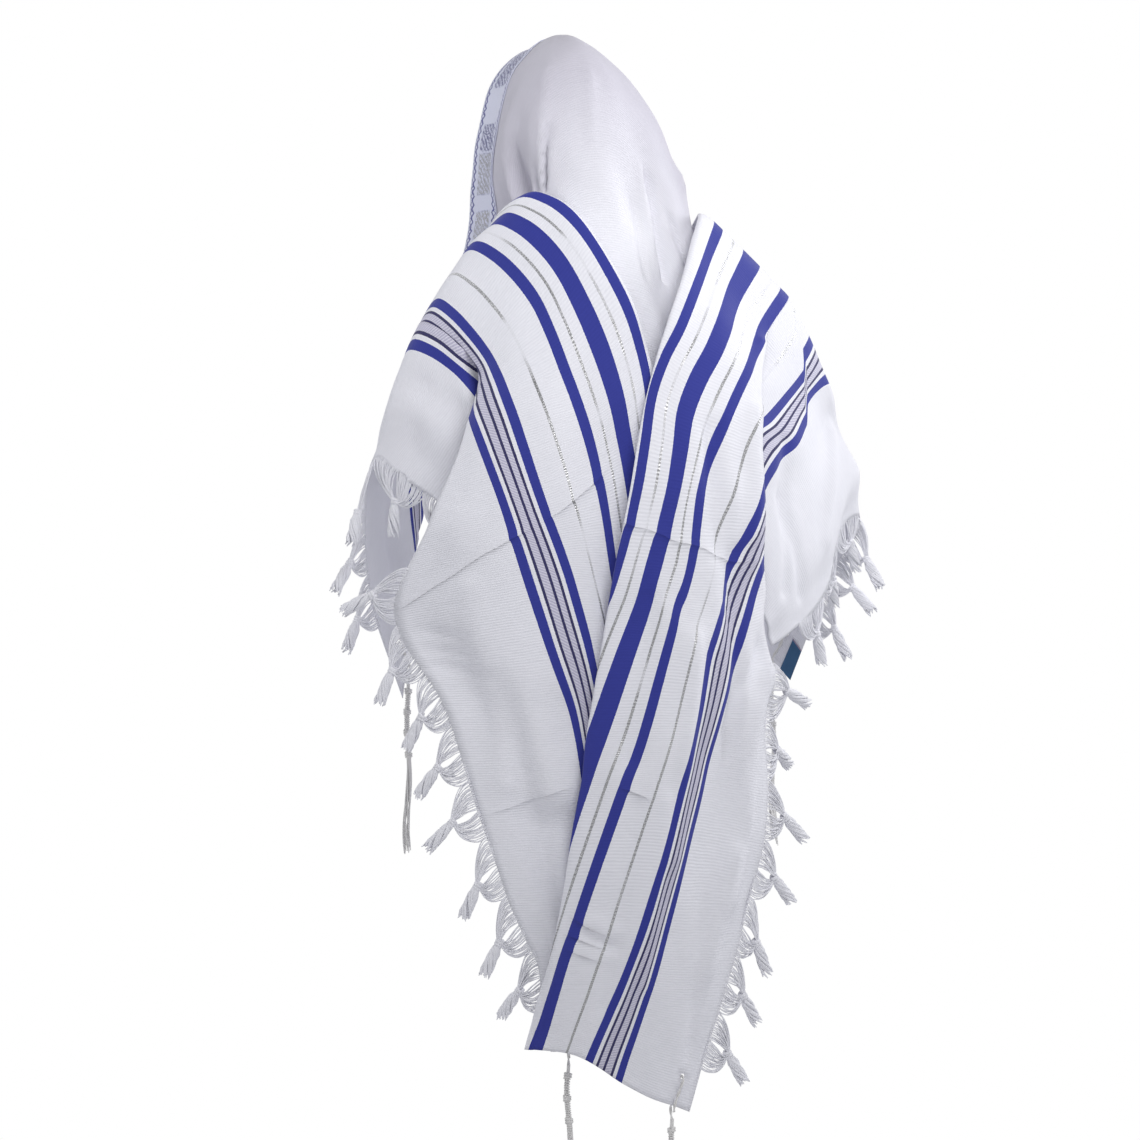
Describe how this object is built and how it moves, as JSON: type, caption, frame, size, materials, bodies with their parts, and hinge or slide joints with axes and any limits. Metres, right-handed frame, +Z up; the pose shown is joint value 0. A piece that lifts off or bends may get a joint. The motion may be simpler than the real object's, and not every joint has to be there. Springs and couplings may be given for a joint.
{
  "type": "tallit prayer shawl",
  "caption": "Striped wool prayer shawl with neckband, fringed ends and corner threads, in its worn shape over the head and shoulders.",
  "frame": {"origin": "crown of the wearer's head, on the inside of the cloth", "axes": "+Z up, +Y the way the wearer faces, +X towards the wearer's right-hand side"},
  "size_m": [0.7666, 0.4331, 1.643],
  "materials": {
    "cloth": "matt wool twill, off-white with woven blue and lurex stripes",
    "neckband": "jacquard band in blue on pale lilac, slight sheen",
    "fringe": "knotted white wool fringe",
    "corner_threads": "twisted white wool thread",
    "label": "smooth woven tag, blank"
  },
  "bodies": {
    "root": {"hood_centre": "cloth", "left_back_fall": "cloth", "left_arm_fall": "cloth", "right_back_fall": "cloth", "right_arm_fall": "cloth", "atarah": "neckband", "fringe_left_back": "fringe", "fringe_right_back": "fringe", "fringe_left_arm": "fringe", "fringe_right_arm": "fringe", "tzitzit_left_back": "corner_threads", "tzitzit_right_back": "corner_threads", "tzitzit_left_front": "corner_threads", "tzitzit_right_front": "corner_threads", "label": "label"}
  },
  "joints": []
}
